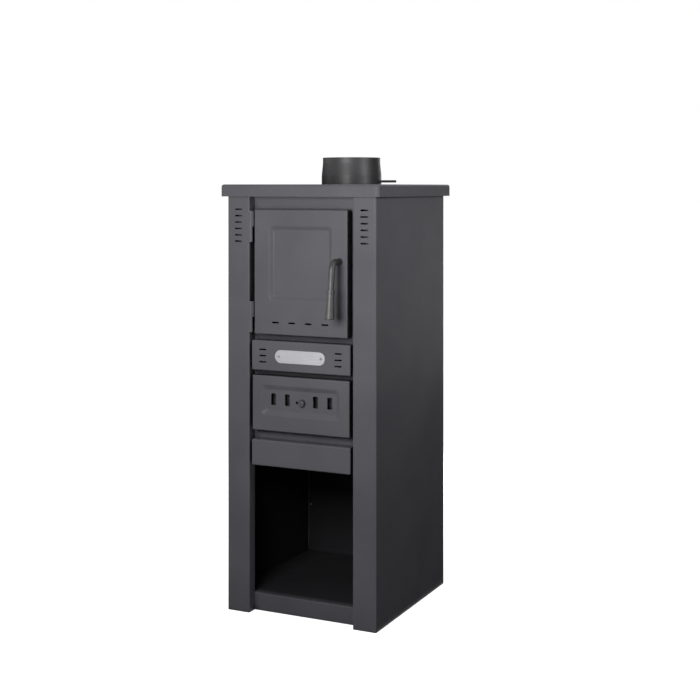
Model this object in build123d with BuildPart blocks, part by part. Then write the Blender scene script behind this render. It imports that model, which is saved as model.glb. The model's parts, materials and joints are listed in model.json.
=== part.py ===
from build123d import *
import math
import os

os.makedirs("parts", exist_ok=True)

# Frame of the part: X to the right seen from the front, Y to the back, Z up, floor at 0.
# The origin is on the floor, in the middle of the stove's outline. Millimetres.

# General sheet metal and clearances
casing_sheet = 1.5
bend_r = 3.0
gap = 0.3
hole_clearance = 0.3
weld_nut_clearance = 0.03

# Casing
body_width = 318.6
body_depth = 340.0
column_width = 48.4
column_return = 22.0
rear_flange = 20.0
vent_length = 16.0
vent_height = 3.2
vent_top = 781.6
vent_pitch = 12.4
vent_count = 6

# Top plate
plate_top = 830.0
plate_sheet = 2.5
plate_skirt = 23.5
plate_overhang = 10.7
plate_corner_r = 7.0
plate_edge_r = 5.0
bracket_leg = 18.0
bracket_length = 40.0

# Front frame and its fixed panels
frame_plate = 2.5
storage_top = 287.3
lower_panel_top = 337.4
panel_side_gap = 4.9
name_panel_low = 471.4
name_panel_top = 529.3
name_slot_length = 15.0
name_slot_height = 3.0
name_slot_inset = 25.0
name_slot_top = 512.0
name_slot_pitch = 12.0
name_slot_count = 3
badge_length = 107.0
badge_height = 25.0
badge_sheet = 1.4
badge_rim = 2.2
badge_field_depth = 0.5
rivet_r = 1.6
rivet_head_r = 2.6
rivet_head_height = 1.2
rivet_crown_r = 0.95
rivet_inset = 8.5

# Storage compartment and base
base_height = 33.5
base_flange = 18.0

# Fire door
door_side_gap = 10.9
door_low = 541.5
door_top = 781.8
door_depth = 19.0
door_overlap = 9.0
door_edge_r = 2.5
field_low = 608.0
field_top = 750.0
field_inset = 33.0
field_slope = 7.0
field_soft_r = 3.5
field_depth = 6.0
field_corner_r = 8.0
air_slot_length = 15.0
air_slot_height = 3.2
air_slot_z = 564.8
air_slot_pitch = 35.4
air_slot_count = 4
rope_d = 6.0
rope_corner_r = 12.0
liner_sheet = 1.5
liner_land = 6.7
shield_sheet = 2.0
shield_left_gap = 13.0
shield_right_gap = 21.0
shield_edge = 14.0
shield_lip = 6.0
shield_stand_off = 9.0
shield_screw_r = 3.0
shield_screw_edge = 12.0
shield_screw_inset = 30.0
shield_nut_r = 5.6
shield_nut = 4.8
spacer_wall = 2.0

# Hinges
hinge_r = 3.75
hinge_pin_r = 2.2
hinge_out = 3.5
hinge_leaf = 2.2
hinge_leaf_depth = 15.0
hinge_running = 0.05
hinge_spans = [(544.5, 603.8), (718.7, 778.9)]

# Handle and latch
spindle_inset = 16.5
spindle_z = 685.0
neck_r = 4.75
neck_running = 0.05
rod_r = 6.0
rod_bend_r = 16.0
crank_out = 30.0
ring_out = 36.5
ring_z = 631.0
foot_out = 41.5
foot_z = 580.0
grip_top_r = 7.2
grip_foot_r = 9.3
grip_edge = 1.2
grip_socket = 14.0
ring_r = 8.0
ring_length = 7.0
bush_r = 6.0
bush_flange_r = 11.0
bush_flange = 2.5
bush_proud = 1.5
tongue_boss_r = 5.4
tongue_sheet = 4.0
tongue_width = 7.0
tongue_length = 30.0
tongue_clearance = 0.7
tongue_bolt_r = 3.0
tongue_nut_flat = 9.0
tongue_nut = 3.5

# Firebox
firebox_side_space = 12.8
firebox_sheet = 3.0
firebox_rear_space = 18.0
firebox_bend_r = 8.0
firebox_low = 345.0
firebox_top = 800.0
seat_low = 512.0
seat_plate = 8.0
seat_half_width = 78.0
seat_front = 75.0
seat_rear_edge = 57.0
rebate = 8.0
rebate_depth = 4.0
grate_thickness = 12.0
grate_slot = 7.0
grate_pitch = 14.0
grate_columns = 11
grate_rows = 2
grate_bridge = 12.0
rail_leg = 22.0
rail_sheet = 3.0
brick_thickness = 25.0
brick_height = 222.0
brick_front = 32.0
baffle_thickness = 6.0
baffle_front = 110.0
guard_height = 42.0
guard_side_gap = 5.0
guard_front = 34.5
guard_sheet = 3.0
guard_foot = 24.0
support_x = 90.0
support_flange = 30.0

# Ash drawer
ash_side_gap = 6.9
ash_low = 355.8
ash_top = 461.6
ash_overlap = 8.0
ash_field_low = 386.0
ash_field_top = 444.0
ash_field_inset = 20.0
ash_field_slope = 9.0
ash_slot_width = 10.5
ash_slot_height = 22.5
ash_slot_corner_r = 2.0
back_hole_length = 24.2
back_hole_height = 5.25
ash_slot_z = 416.3
ash_slot_edge = 14.5
pan_side_gap = 8.0
pan_low = 366.0
pan_height = 76.0
pan_rear_space = 29.3
pan_sheet = 1.5
pan_corner_r = 10.0
pan_bolt_r = 2.5
pan_bolt_head = 3.5
pan_bolt_end = 7.5
pan_nut = 4.0
runner_sheet = 1.6
runner_foot_inset = 28.0
runner_riser_inset = 13.0
runner_lip = 8.0
slide_end = 9.25
slide_lap = 1.0
slide_low = 402.0
slide_height = 31.0
slide_sheet = 1.5
knob_x = 2.0
knob_drop = 3.3
knob_r = 7.0
knob_stem_r = 2.5
knob_rivet_r = 3.5
knob_rivet = 1.25
knob_reach = 8.0
guide_sheet = 1.2
guide_foot = 3.8

# Flue
flue_rear = 112.5
collar_rise = 55.0
collar_base_r = 61.5
collar_top_r = 59.0
collar_bore_r = 55.0
collar_straight = 18.5
collar_land = 12.0
collar_flange_r = 80.0
collar_flange = 4.0
gasket_sheet = 1.5
collar_bolt_offset = 50.2
collar_bolt_r = 4.0
collar_bolt_head_r = 7.2
collar_bolt_head = 5.2
collar_bolt_end = 8.8
collar_nut = 6.4
damper_rise = 6.4
damper_r = 47.0
damper_sheet = 2.0
damper_rod_r = 2.5
damper_rod_reach = 100.0
damper_running = 0.05
clamp_sheet = 1.5

# Rear panel
rear_vent_length = 60.0
rear_vent_height = 5.0
rear_vent_pitch = 14.0
rear_vent_rows = 7
rear_vent_columns = 3
rear_vent_z = 730.0
rear_screw_r = 2.5
rear_screw_count = 4

# Places that follow from the sizes above
grip_tilt = math.atan2(foot_out - ring_out, ring_z - foot_z)
handle_reach = foot_out + grip_foot_r * math.cos(grip_tilt)
front_y = handle_reach - (handle_reach + body_depth + plate_overhang) / 2
plate_under = plate_top - plate_sheet
inside_half = body_width / 2 - casing_sheet
frame_back = column_return + frame_plate
rear_inside = body_depth - 2 * casing_sheet
seat_top = seat_low + seat_plate
brick_top = seat_top + brick_height
door_mid = (door_low + door_top) / 2
door_height = door_top - door_low
ash_mid = (ash_low + ash_top) / 2
ash_field_depth = field_depth
ash_back = column_return - gap - casing_sheet
channel_depth = column_return - rope_d - 2 * gap
slide_depth = ash_field_depth + casing_sheet + gap
column_edge = body_width / 2 - column_width
panel_half_width = column_edge - panel_side_gap
name_slot_x = panel_half_width - name_slot_inset
rivet_x = badge_length / 2 - rivet_inset
door_half_width = column_edge - door_side_gap
opening_half = door_half_width - door_overlap
field_half_width = door_half_width - field_inset
shield_left = opening_half - shield_left_gap
shield_right = opening_half - shield_right_gap
shield_screw_x = shield_right - shield_screw_edge
hinge_gap_x = (column_edge + door_half_width) / 2
spindle_x = door_half_width - spindle_inset
firebox_half_width = inside_half - firebox_side_space
firebox_back = body_depth - firebox_rear_space
chamber_half = firebox_half_width - firebox_sheet
seat_back = firebox_back - seat_rear_edge
guard_half_width = opening_half - guard_side_gap
ash_half_width = column_edge - ash_side_gap
ash_field_half_width = ash_half_width - ash_field_inset
ash_slot_pitch = (ash_field_half_width - ash_field_slope - ash_slot_edge) / 2
pan_half_width = ash_half_width - ash_overlap - pan_side_gap
pan_length = firebox_back - firebox_sheet - pan_rear_space - ash_back - casing_sheet
runner_foot_x = pan_half_width - runner_foot_inset
runner_riser_x = pan_half_width - runner_riser_inset
slide_half_length = 2 * ash_slot_pitch + ash_slot_width / 2 + slide_end
slide_travel = ash_slot_width + slide_lap
knob_z = ash_slot_z - knob_drop
flue_y = front_y + body_depth - flue_rear
collar_top = plate_top + collar_rise
damper_z = plate_top + damper_rise


def facing(depth):
    """A plane seen from the front: x is the stove's x, y the height, depth counts from the columns."""
    return Plane.XZ.offset(-(front_y + depth))


def save(piece, name):
    """Labels a finished piece and writes it under its own name."""
    piece.part.label = name
    export_step(piece.part, f"parts/{name}.step")


def folded(points, sheet, radius, plane, length):
    """A sheet folded along a line of points, bent on its middle radius, as long as length."""
    with BuildPart() as piece:
        with BuildSketch(plane):
            with BuildLine():
                FilletPolyline(*points, radius=radius)
            trace(line_width=sheet)
        extrude(amount=length)
    return piece.part


def folded_pan(half_width, low, high, depth, edge_r):
    """A front panel whose four edges are folded back."""
    with BuildPart() as pan:
        with BuildSketch(facing(0)):
            with Locations((0, (low + high) / 2)):
                Rectangle(2 * half_width, high - low)
        extrude(amount=-depth)
        fillet(pan.edges().filter_by(Axis.Y), edge_r)
        fillet(pan.faces().sort_by(Axis.Y)[0].edges(), edge_r)
        back = pan.faces().sort_by(Axis.Y)[-1]
        offset(amount=-casing_sheet, openings=back)
    return pan.part


def pressed_field(half_width, low, high, slope, depth, corner_r):
    """Presses a field with sloping sides into the front sheet of the panel being built."""
    middle = (low + high) / 2
    for start, grow, mode in ((casing_sheet, casing_sheet, Mode.ADD), (0, 0, Mode.SUBTRACT)):
        with BuildSketch(facing(start)) as mouth:
            with Locations((0, middle)):
                RectangleRounded(2 * (half_width + grow), high - low + 2 * grow, corner_r)
        with BuildSketch(facing(start + depth)) as floor:
            with Locations((0, middle)):
                RectangleRounded(
                    2 * (half_width - slope + grow),
                    high - low - 2 * (slope - grow),
                    corner_r / 2,
                )
        loft([mouth.sketch.face(), floor.sketch.face()], mode=mode)


def soften_field(panel, depth, radius):
    """Rounds the front side of a pressed field, at its rim and at its floor."""
    fronts = panel.faces().filter_by(Axis.Y).sort_by(Axis.Y)
    floor = [face for face in fronts if abs(face.center().Y - front_y - depth) < gap / 2][0]
    fillet(fronts[0].inner_wires().edges() + floor.outer_wire().edges(), radius)


def slot_row(centres, length, height):
    """Slots with round ends at the given centres of the sketch being drawn."""
    with Locations(*centres):
        SlotOverall(length, height)


# Side panels: one sheet each makes the front column, the side and the rear flange
def side_panel(side):
    middle = side * (body_width - casing_sheet) / 2
    column = side * ((body_width + casing_sheet) / 2 - column_width)
    rear = side * (body_width / 2 - rear_flange)
    points = [
        (column, front_y + column_return),
        (column, front_y + casing_sheet / 2),
        (middle, front_y + casing_sheet / 2),
        (middle, front_y + body_depth - casing_sheet / 2),
        (rear, front_y + body_depth - casing_sheet / 2),
    ]
    vent_x = side * (body_width - column_width) / 2
    screw_x = side * (body_width - rear_flange) / 2
    with BuildPart() as panel:
        add(folded(points, casing_sheet, bend_r - casing_sheet / 2, Plane.XY, plate_under))
        with BuildSketch(facing(0)):
            slot_row(
                [(vent_x, vent_top - row * vent_pitch) for row in range(vent_count)],
                vent_length,
                vent_height,
            )
        extrude(amount=-2 * casing_sheet, mode=Mode.SUBTRACT)
        with BuildSketch(facing(body_depth)):
            with Locations(*[(screw_x, z) for z in rear_screw_heights]):
                Circle(rear_screw_r + hole_clearance)
        extrude(amount=2 * casing_sheet, mode=Mode.SUBTRACT)
    return panel


rear_screw_heights = [
    base_height + (plate_under - base_height) * (row + 0.5) / rear_screw_count
    for row in range(rear_screw_count)
]
for side_name, side in (("left", -1), ("right", 1)):
    save(side_panel(side), f"{side_name}_side_panel")

# Rear panel, behind the firebox, held by screws through the side panels' rear flanges
screw_x = (body_width - rear_flange) / 2
with BuildPart() as rear_panel:
    with BuildSketch(facing(rear_inside)):
        with Locations((0, plate_under / 2)):
            Rectangle(2 * (inside_half - bend_r), plate_under - 2 * gap)
        with Locations(*[(s * screw_x, z) for s in (-1, 1) for z in rear_screw_heights]):
            Circle(rear_screw_r + hole_clearance, mode=Mode.SUBTRACT)
        with Locations((0, rear_vent_z)):
            with GridLocations(
                rear_vent_length * 1.25, rear_vent_pitch, rear_vent_columns, rear_vent_rows
            ):
                SlotOverall(rear_vent_length, rear_vent_height, mode=Mode.SUBTRACT)
    extrude(amount=-casing_sheet)
save(rear_panel, "rear_panel")

with BuildPart() as rear_screws:
    for s in (-1, 1):
        for z in rear_screw_heights:
            with BuildSketch(facing(body_depth)):
                with Locations((s * screw_x, z)):
                    Circle(2 * rear_screw_r)
            extrude(amount=-rear_screw_r)
            with BuildSketch(facing(body_depth)):
                with Locations((s * screw_x, z)):
                    Circle(rear_screw_r)
            extrude(amount=4 * casing_sheet)
    heads = rear_screws.faces().filter_by(Axis.Y).group_by(Axis.Y)[-1]
    fillet(heads.edges(), rear_screw_r / 2)
save(rear_screws, "rear_screws")

# Top plate: a tray turned over, with the hole for the flue collar
with BuildPart() as top_plate:
    with BuildSketch(Plane.XY.offset(plate_top)):
        with Locations((0, front_y + body_depth / 2)):
            RectangleRounded(
                body_width + 2 * plate_overhang, body_depth + 2 * plate_overhang, plate_corner_r
            )
    extrude(amount=-plate_skirt)
    fillet(top_plate.faces().sort_by(Axis.Z)[-1].edges(), plate_edge_r)
    offset(amount=-plate_sheet, openings=top_plate.faces().sort_by(Axis.Z)[0])
    with BuildSketch(Plane.XY.offset(plate_top)):
        with Locations((0, flue_y)):
            Circle(collar_base_r + 2 * gap)
    extrude(amount=-plate_skirt, mode=Mode.SUBTRACT)
save(top_plate, "top_plate")

# Angles under the plate that tie it to the side panels
with BuildPart() as plate_brackets:
    for s in (-1, 1):
        for depth in (body_depth / 5, body_depth * 4 / 5):
            outer = s * (inside_half - gap - casing_sheet / 2)
            with BuildSketch(facing(depth - bracket_length / 2)):
                with BuildLine():
                    FilletPolyline(
                        (outer, plate_under - bracket_leg),
                        (outer, plate_under - casing_sheet / 2),
                        (outer - s * bracket_leg, plate_under - casing_sheet / 2),
                        radius=bend_r - casing_sheet / 2,
                    )
                trace(line_width=casing_sheet)
            extrude(amount=-bracket_length)
save(plate_brackets, "plate_brackets")

# Base: a tray turned over, whose top is the storage floor and whose flanges stand on the floor
with BuildPart() as base_pan:
    base_width = 2 * (inside_half - gap)
    base_length = rear_inside - gap - column_return
    base_centre = (0, front_y + column_return + base_length / 2)
    with BuildSketch(Plane.XY):
        with Locations(base_centre):
            Rectangle(base_width, base_length)
    extrude(amount=base_height)
    fillet(base_pan.faces().sort_by(Axis.Z)[-1].edges(), bend_r)
    offset(amount=-casing_sheet, openings=base_pan.faces().sort_by(Axis.Z)[0])
    with BuildSketch(Plane.XY):
        with Locations(base_centre):
            Rectangle(base_width, base_length)
            Rectangle(base_width - 2 * base_flange, base_length - 2 * base_flange, mode=Mode.SUBTRACT)
    extrude(amount=casing_sheet)
save(base_pan, "base_pan")

# Storage roof: keeps the heat off the fuel below
with BuildPart() as storage_roof:
    roof_length = rear_inside - gap - frame_back - gap
    with BuildSketch(Plane.XY.offset(storage_top)):
        with Locations((0, front_y + frame_back + gap + roof_length / 2)):
            Rectangle(2 * (inside_half - gap), roof_length)
    extrude(amount=casing_sheet)
save(storage_roof, "storage_roof")

# Front frame: the plate behind the doors and panels
with BuildPart() as front_frame:
    with BuildSketch(facing(column_return)):
        with Locations((0, (storage_top + plate_under - gap) / 2)):
            Rectangle(2 * (inside_half - gap), plate_under - gap - storage_top)
        with Locations((0, door_mid)):
            RectangleRounded(
                2 * opening_half, door_height - 2 * door_overlap, rope_corner_r, mode=Mode.SUBTRACT
            )
        with Locations((0, ash_mid)):
            RectangleRounded(
                2 * (ash_half_width - ash_overlap),
                ash_top - ash_low - 2 * ash_overlap,
                2 * bend_r,
                mode=Mode.SUBTRACT,
            )
        with Locations(*[(s * name_slot_x, (name_panel_low + name_panel_top) / 2) for s in (-1, 1)]):
            Rectangle(1.5 * name_slot_length, 3 * name_slot_pitch, mode=Mode.SUBTRACT)
    extrude(amount=-frame_plate)
save(front_frame, "front_frame")

# Fixed panels of the front
with BuildPart() as lower_panel:
    add(folded_pan(panel_half_width, storage_top, lower_panel_top, column_return, bend_r))
save(lower_panel, "lower_panel")

badge_z = (name_panel_low + name_panel_top) / 2
with BuildPart() as name_panel:
    add(folded_pan(panel_half_width, name_panel_low, name_panel_top, column_return, bend_r))
    with BuildSketch(facing(0)):
        rows = range(name_slot_count)
        slot_row(
            [(s * name_slot_x, name_slot_top - row * name_slot_pitch) for s in (-1, 1) for row in rows],
            name_slot_length,
            name_slot_height,
        )
        with Locations(*[(s * rivet_x, badge_z) for s in (-1, 1)]):
            Circle(rivet_r + gap)
    extrude(amount=-2 * casing_sheet, mode=Mode.SUBTRACT)
save(name_panel, "name_panel")

with BuildPart() as badge:
    with BuildSketch(facing(0)):
        with Locations((0, badge_z)):
            SlotOverall(badge_length, badge_height)
    extrude(amount=badge_sheet)
    fillet(badge.faces().sort_by(Axis.Y)[0].edges(), badge_field_depth)
    with BuildSketch(facing(-badge_sheet)):
        with Locations((0, badge_z)):
            SlotOverall(badge_length - 2 * badge_rim, badge_height - 2 * badge_rim)
    extrude(amount=-badge_field_depth, mode=Mode.SUBTRACT)
    with BuildSketch(facing(0)):
        with Locations(*[(s * rivet_x, badge_z) for s in (-1, 1)]):
            Circle(rivet_r + gap)
    extrude(amount=badge_sheet, mode=Mode.SUBTRACT)
save(badge, "badge")

with BuildPart() as badge_rivets:
    for s in (-1, 1):
        with BuildSketch(facing(badge_field_depth - badge_sheet)):
            with Locations((s * rivet_x, badge_z)):
                Circle(rivet_head_r)
        extrude(amount=rivet_head_height)
        with BuildSketch(facing(badge_field_depth - badge_sheet)):
            with Locations((s * rivet_x, badge_z)):
                Circle(rivet_r)
        extrude(amount=-3 * casing_sheet)
    crowns = badge_rivets.faces().filter_by(Axis.Y).group_by(Axis.Y)[0]
    fillet(crowns.edges(), rivet_crown_r)
save(badge_rivets, "badge_rivets")

# Fire door: pressed outer skin with its air slots
with BuildPart() as door_skin:
    add(folded_pan(door_half_width, door_low, door_top, door_depth, door_edge_r))
    pressed_field(field_half_width, field_low, field_top, field_slope, field_depth, field_corner_r)
    soften_field(door_skin, field_depth, field_soft_r)
    with BuildSketch(facing(0)):
        first = -air_slot_pitch * (air_slot_count - 1) / 2
        slot_row(
            [(first + n * air_slot_pitch, air_slot_z) for n in range(air_slot_count)],
            air_slot_length,
            air_slot_height,
        )
        with Locations((spindle_x, spindle_z)):
            Circle(bush_r + gap)
    extrude(amount=-2 * casing_sheet, mode=Mode.SUBTRACT)
save(door_skin, "door_skin")

# Door liner: the inner pressing, stepped at its edge to make the channel for the rope
liner_half = door_half_width - casing_sheet - gap
liner_height = door_height - 2 * (casing_sheet + gap)
land_half = liner_half - liner_land
land_height = liner_height - 2 * liner_land
land_corner_r = rope_corner_r + gap + rope_d / 2 - liner_land
screw_places = [
    (s * shield_screw_x, door_mid + t * (land_height / 2 - shield_screw_inset))
    for s in (-1, 1)
    for t in (-1, 1)
]
with BuildPart() as door_liner:
    with BuildSketch(facing(channel_depth - liner_sheet)):
        with Locations((0, door_mid)):
            RectangleRounded(2 * liner_half, liner_height, bend_r)
    extrude(amount=-liner_sheet)
    with BuildSketch(facing(channel_depth - liner_sheet)):
        with Locations((0, door_mid)):
            RectangleRounded(2 * land_half, land_height, land_corner_r)
    extrude(amount=-(door_depth - channel_depth + liner_sheet))
    with BuildSketch(facing(channel_depth - liner_sheet)):
        with Locations((0, door_mid)):
            RectangleRounded(
                2 * (land_half - liner_sheet), land_height - 2 * liner_sheet, land_corner_r - liner_sheet
            )
    extrude(amount=-(door_depth - channel_depth), mode=Mode.SUBTRACT)
    with BuildSketch(facing(door_depth)):
        with Locations((spindle_x, spindle_z)):
            Circle(bush_r + gap)
        with Locations(*screw_places):
            Circle(shield_screw_r + hole_clearance)
    extrude(amount=2 * liner_sheet, mode=Mode.SUBTRACT)
save(door_liner, "door_liner")

# Rope seal, one closed loop round the door, lying in the liner's channel
rope_inset = casing_sheet + gap + gap + rope_d / 2
with BuildPart() as door_seal:
    rope_plane = facing(channel_depth + gap + rope_d / 2)
    rope_half = door_half_width - rope_inset
    rope_half_height = door_height / 2 - rope_inset
    with BuildLine(rope_plane) as rope_path:
        FilletPolyline(
            (-rope_half, door_mid - rope_half_height),
            (rope_half, door_mid - rope_half_height),
            (rope_half, door_mid + rope_half_height),
            (-rope_half, door_mid + rope_half_height),
            radius=rope_corner_r,
            close=True,
        )
    rope_start = rope_path.wires()[0] @ 0
    rope_way = rope_path.wires()[0] % 0
    with BuildSketch(Plane(origin=rope_start, z_dir=rope_way)):
        Circle(rope_d / 2)
    sweep()
save(door_seal, "door_seal")

# Heat shield inside the door, on four spacers
shield_front = door_depth + shield_stand_off
shield_middle = (shield_right - shield_left) / 2
with BuildPart() as door_heat_shield:
    with BuildSketch(facing(shield_front + shield_sheet)):
        with Locations((shield_middle, door_mid)):
            Rectangle(shield_left + shield_right, land_height - 2 * shield_edge)
    extrude(amount=shield_lip + shield_sheet)
    fillet(door_heat_shield.edges().filter_by(Axis.Y), bend_r)
    fillet(door_heat_shield.faces().sort_by(Axis.Y)[-1].edges(), bend_r)
    offset(amount=-shield_sheet, openings=door_heat_shield.faces().sort_by(Axis.Y)[0])
    with BuildSketch(facing(shield_front + shield_sheet)):
        with Locations(*screw_places):
            Circle(shield_screw_r + hole_clearance)
    extrude(amount=2 * shield_sheet, mode=Mode.SUBTRACT)
save(door_heat_shield, "door_heat_shield")

with BuildPart() as shield_spacers:
    for place in screw_places:
        with BuildSketch(facing(door_depth)):
            with Locations(place):
                Circle(shield_screw_r + hole_clearance + spacer_wall)
                Circle(shield_screw_r + hole_clearance, mode=Mode.SUBTRACT)
        extrude(amount=-shield_stand_off)
save(shield_spacers, "shield_spacers")

with BuildPart() as shield_screws:
    for place in screw_places:
        with BuildSketch(facing(shield_front + shield_sheet)):
            with Locations(place):
                Circle(2 * shield_screw_r)
        extrude(amount=-shield_screw_r)
        with BuildSketch(facing(shield_front + shield_sheet)):
            with Locations(place):
                Circle(shield_screw_r)
        extrude(amount=shield_sheet + shield_stand_off + liner_sheet + 2 * shield_screw_r)
    heads = shield_screws.faces().filter_by(Axis.Y).group_by(Axis.Y)[-1]
    fillet(heads.edges(), shield_screw_r / 2)
save(shield_screws, "shield_screws")

with BuildPart() as shield_nuts:
    for place in screw_places:
        with BuildSketch(facing(door_depth - liner_sheet)):
            with Locations(place):
                RegularPolygon(shield_nut_r, 6)
                Circle(shield_screw_r + weld_nut_clearance, mode=Mode.SUBTRACT)
        extrude(amount=shield_nut)
save(shield_nuts, "shield_nuts")

# Hinges: the lower knuckle of each pair is on the column, the upper one on the door
hinge_y = front_y - hinge_out


def hinge_half(level, on_door):
    """One knuckle with its leaf, from the bottom or the top of a hinge's span."""
    low, high = hinge_spans[level]
    length = (high - low - gap) / 2
    base = high - length if on_door else low
    edge = -door_half_width if on_door else -(body_width / 2 - column_width)
    leaf_side = Align.MAX if on_door else Align.MIN
    bore_r = hinge_pin_r + (hinge_running if on_door else weld_nut_clearance)
    with BuildSketch(Plane.XY.offset(base)) as outline:
        with Locations((-hinge_gap_x, hinge_y)):
            Circle(hinge_r)
        with Locations((edge, hinge_y)):
            Rectangle(hinge_leaf, hinge_leaf_depth, align=(leaf_side, Align.MIN))
        with Locations((-hinge_gap_x, hinge_y)):
            Circle(bore_r, mode=Mode.SUBTRACT)
    extrude(outline.sketch, amount=length)


with BuildPart() as column_hinges:
    for level in range(len(hinge_spans)):
        hinge_half(level, False)
save(column_hinges, "column_hinges")

with BuildPart() as door_hinges:
    for level in range(len(hinge_spans)):
        hinge_half(level, True)
save(door_hinges, "door_hinges")

with BuildPart() as hinge_pins:
    for low, high in hinge_spans:
        with BuildSketch(Plane.XY.offset(low)):
            with Locations((-hinge_gap_x, hinge_y)):
                Circle(hinge_pin_r)
        extrude(amount=high - low - hinge_pin_r)
save(hinge_pins, "hinge_pins")

# Handle: bush in the door, bent rod, ferrule, grip, and the latch on the spindle's end
spindle_y = front_y + column_return + frame_plate + tongue_clearance
with BuildPart() as handle_bush:
    with BuildSketch(facing(-bush_proud)):
        with Locations((spindle_x, spindle_z)):
            Circle(bush_r)
    extrude(amount=-(bush_proud + door_depth + casing_sheet))
    with BuildSketch(facing(casing_sheet + gap)):
        with Locations((spindle_x, spindle_z)):
            Circle(bush_flange_r)
    extrude(amount=-bush_flange)
    with BuildSketch(facing(-bush_proud)):
        with Locations((spindle_x, spindle_z)):
            Circle(neck_r + neck_running)
    extrude(amount=-(bush_proud + door_depth + casing_sheet), mode=Mode.SUBTRACT)
save(handle_bush, "handle_bush")

ring_point = Vector(spindle_x, front_y - ring_out, ring_z)
grip_way = Vector(0, -math.sin(grip_tilt), -math.cos(grip_tilt))
grip_plane = Plane(origin=ring_point, x_dir=(1, 0, 0), z_dir=Vector(1, 0, 0).cross(grip_way))
grip_axis = Axis(ring_point, grip_way)
grip_length = (ring_z - foot_z) / math.cos(grip_tilt)
tenon_point = ring_point + grip_way * grip_socket

with BuildPart() as handle_rod:
    neck_end_y = spindle_y - gap
    shoulder_y = front_y - bush_proud - gap
    with BuildLine(Plane.YZ.offset(spindle_x)) as rod_path:
        FilletPolyline(
            (shoulder_y, spindle_z),
            (front_y - crank_out, spindle_z),
            (ring_point.Y, ring_point.Z),
            (tenon_point.Y, tenon_point.Z),
            radius=[rod_bend_r, 2 * rod_bend_r],
        )
    with BuildSketch(Plane(origin=rod_path.wires()[0] @ 0, z_dir=rod_path.wires()[0] % 0)):
        Circle(rod_r)
    sweep()
    with BuildSketch(Plane.XZ.offset(-shoulder_y)):
        with Locations((spindle_x, spindle_z)):
            Circle(neck_r)
    extrude(amount=shoulder_y - neck_end_y)
    with BuildSketch(Plane.XZ.offset(-neck_end_y)):
        with Locations((spindle_x, spindle_z)):
            Circle(tongue_bolt_r)
    extrude(amount=-(tongue_sheet + tongue_nut + 4 * gap))
save(handle_rod, "handle_rod")

with BuildPart() as handle_ring:
    with BuildSketch(grip_plane):
        with Locations((rod_r + 3 * gap, 0)):
            Rectangle(ring_r - rod_r - 3 * gap, ring_length, align=(Align.MIN, Align.CENTER))
    revolve(axis=grip_axis)
    outer = handle_ring.edges().filter_by(GeomType.CIRCLE).sort_by(SortBy.RADIUS)[-2:]
    fillet(outer, (ring_r - rod_r - 3 * gap) / 2)
save(handle_ring, "handle_ring")

with BuildPart() as handle_grip:
    grip_start = ring_length / 2 + gap
    socket_end = grip_socket + gap
    with BuildSketch(grip_plane):
        with BuildLine():
            Polyline(
                (0, socket_end),
                (rod_r + neck_running, socket_end),
                (rod_r + neck_running, grip_start),
                (grip_top_r, grip_start),
            )
            Spline(
                (grip_top_r, grip_start),
                ((grip_top_r + grip_foot_r) / 2 - gap, grip_length / 2),
                (grip_foot_r, grip_length - grip_edge),
            )
            Polyline(
                (grip_foot_r, grip_length - grip_edge),
                (grip_foot_r - grip_edge, grip_length),
                (0, grip_length),
                (0, socket_end),
            )
        make_face()
    revolve(axis=grip_axis)
save(handle_grip, "handle_grip")

with BuildPart() as latch_tongue:
    with BuildSketch(Plane.XZ.offset(-spindle_y)):
        with Locations((spindle_x, spindle_z)):
            Circle(tongue_boss_r)
        with Locations((spindle_x, spindle_z - tongue_length / 2)):
            SlotOverall(tongue_length + tongue_width, tongue_width, rotation=90)
        with Locations((spindle_x, spindle_z)):
            Circle(tongue_bolt_r + weld_nut_clearance, mode=Mode.SUBTRACT)
    extrude(amount=-tongue_sheet)
    tip = latch_tongue.edges().filter_by(GeomType.CIRCLE).sort_by(Axis.Z)[0:2]
    chamfer(tip.sort_by(Axis.Y)[0], tongue_sheet / 4)
save(latch_tongue, "latch_tongue")

with BuildPart() as latch_nut:
    with BuildSketch(Plane.XZ.offset(-(spindle_y + tongue_sheet + gap))):
        with Locations((spindle_x, spindle_z)):
            RegularPolygon(tongue_nut_flat / 2, 6, major_radius=False)
            Circle(tongue_bolt_r + weld_nut_clearance, mode=Mode.SUBTRACT)
    extrude(amount=-tongue_nut)
save(latch_nut, "latch_nut")

# Firebox: one bent sheet makes its sides and back
wrapper_x = firebox_half_width - firebox_sheet / 2
wrapper_points = [
    (-wrapper_x, front_y + frame_back),
    (-wrapper_x, front_y + firebox_back - firebox_sheet / 2),
    (wrapper_x, front_y + firebox_back - firebox_sheet / 2),
    (wrapper_x, front_y + frame_back),
]
firebox_height = firebox_top - firebox_low
with BuildPart() as firebox_wrapper:
    add(folded(wrapper_points, firebox_sheet, firebox_bend_r, Plane.XY.offset(firebox_low), firebox_height))
save(firebox_wrapper, "firebox_wrapper")


def firebox_deck(level, hole_r):
    """A flat plate over the whole firebox, with an optional round hole for the flue and its bolts."""
    with BuildPart() as deck:
        with BuildSketch(Plane.XY.offset(level)):
            with Locations((0, front_y + (frame_back + firebox_back) / 2)):
                Rectangle(2 * firebox_half_width, firebox_back - frame_back)
            if hole_r:
                with Locations((0, flue_y)):
                    Circle(hole_r, mode=Mode.SUBTRACT)
                    with GridLocations(2 * collar_bolt_offset, 2 * collar_bolt_offset, 2, 2):
                        Circle(collar_bolt_r + hole_clearance, mode=Mode.SUBTRACT)
        extrude(amount=firebox_sheet)
    return deck


save(firebox_deck(firebox_top, collar_bore_r), "firebox_roof")
save(firebox_deck(firebox_low - firebox_sheet, 0), "ash_floor")

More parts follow.
